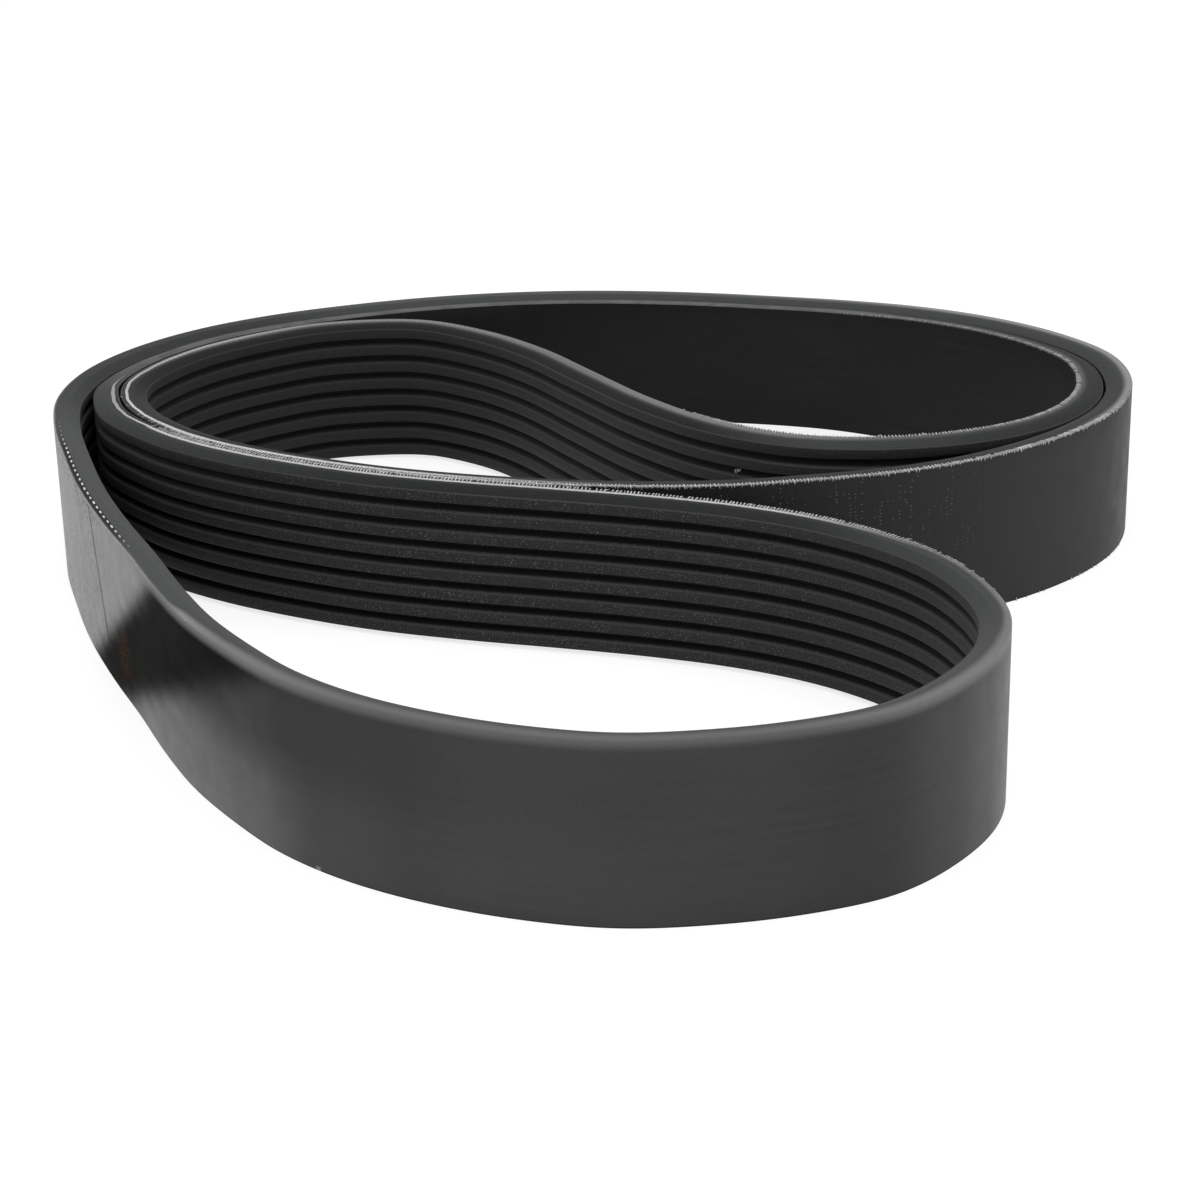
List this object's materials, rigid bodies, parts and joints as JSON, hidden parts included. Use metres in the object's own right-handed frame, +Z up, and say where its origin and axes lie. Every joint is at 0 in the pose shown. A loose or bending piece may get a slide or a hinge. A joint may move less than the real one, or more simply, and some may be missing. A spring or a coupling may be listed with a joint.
{
  "type": "serpentine belt",
  "caption": "Endless rubber drive belt with lengthwise V-shaped ribs on one side and a smooth fabric back, standing on its edge in a doubled loop.",
  "frame": {"origin": "on the surface that the belt stands on, under the middle of its bounding box", "axes": "+Z up, across the width of the belt; +X to the right and +Y away from the camera, both in the plane of the fold"},
  "size_m": [0.2024, 0.2384, 0.0285],
  "materials": {
    "belt_rubber": "matt near-black rubber with a woven fabric back and pale cord ends along the cut edge"
  },
  "bodies": {
    "root": {"serpentine_belt": "belt_rubber"}
  },
  "joints": []
}
